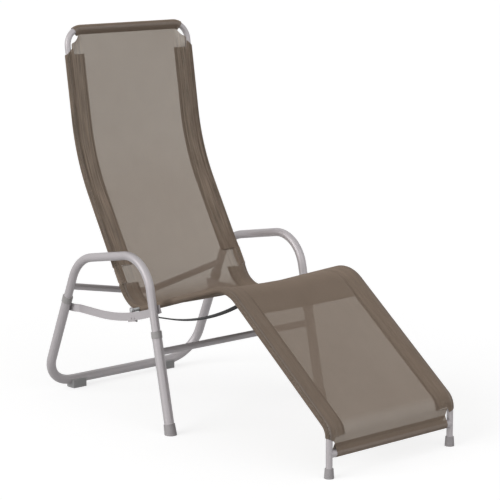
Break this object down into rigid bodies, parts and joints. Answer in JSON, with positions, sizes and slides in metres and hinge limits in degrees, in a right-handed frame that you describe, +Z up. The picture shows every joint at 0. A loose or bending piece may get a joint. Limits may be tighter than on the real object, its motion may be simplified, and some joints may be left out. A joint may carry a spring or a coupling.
{
  "type": "reclining garden armchair",
  "caption": "Reclining garden armchair: a long mesh sling seat with leg section tilts on a pivot in a tube stand with two arched armrests.",
  "frame": {"origin": "on the floor, under the middle of the whole chair's box", "axes": "+Z up, +Y towards the head end so the sitter faces -Y, +X to the sitter's left"},
  "size_m": [0.6794, 1.3792, 1.2428],
  "materials": {
    "silver_tube": "satin silver powder coat on bent steel tube",
    "silver_flat": "satin silver powder coat on flat steel",
    "dark_flat": "dark grey coat on spring steel strip",
    "fastener_steel": "zinc plated steel",
    "grey_plastic": "moulded grey plastic",
    "collar_plastic": "moulded light grey plastic",
    "foot_rubber": "moulded grey rubber",
    "sling_cloth": "woven coated mesh, taupe"
  },
  "bodies": {
    "stand": {"left_armrest": "silver_tube", "right_armrest": "silver_tube", "left_front_leg": "silver_tube", "right_front_leg": "silver_tube", "rear_leg_frame": "silver_tube", "front_cross_tube": "silver_tube", "rear_cross_tube": "silver_tube", "left_rail": "silver_flat", "right_rail": "silver_flat", "left_pivot_bracket": "silver_flat", "right_pivot_bracket": "silver_flat", "tie_strap": "dark_flat", "left_front_collar": "collar_plastic", "right_front_collar": "collar_plastic", "left_rear_collar": "collar_plastic", "right_rear_collar": "collar_plastic", "left_front_leg_cap": "foot_rubber", "right_front_leg_cap": "foot_rubber", "left_floor_block": "grey_plastic", "right_floor_block": "grey_plastic", "rail_screws": "fastener_steel", "bracket_rivets": "fastener_steel", "floor_block_screws": "fastener_steel"},
    "seat": {"back_hoop": "silver_tube", "left_seat_tube": "silver_tube", "right_seat_tube": "silver_tube", "left_hip_joiner": "silver_tube", "right_hip_joiner": "silver_tube", "foot_cross_tube": "silver_tube", "left_foot_cap": "foot_rubber", "right_foot_cap": "foot_rubber", "pivot_bolts": "fastener_steel", "pivot_spacers": "fastener_steel", "pivot_nuts": "fastener_steel", "left_back_sleeve": "sling_cloth", "right_back_sleeve": "sling_cloth", "left_seat_sleeve": "sling_cloth", "right_seat_sleeve": "sling_cloth", "head_sleeve": "sling_cloth", "foot_sleeve": "sling_cloth", "sling_panel": "sling_cloth", "knee_band": "sling_cloth"}
  },
  "joints": [
    {"name": "recline", "type": "hinge", "parent": "stand", "child": "seat", "pos_m": [0, 0.21456, 0.35696], "axis": [-1, 0, 0], "range_deg": [0, 38]}
  ]
}
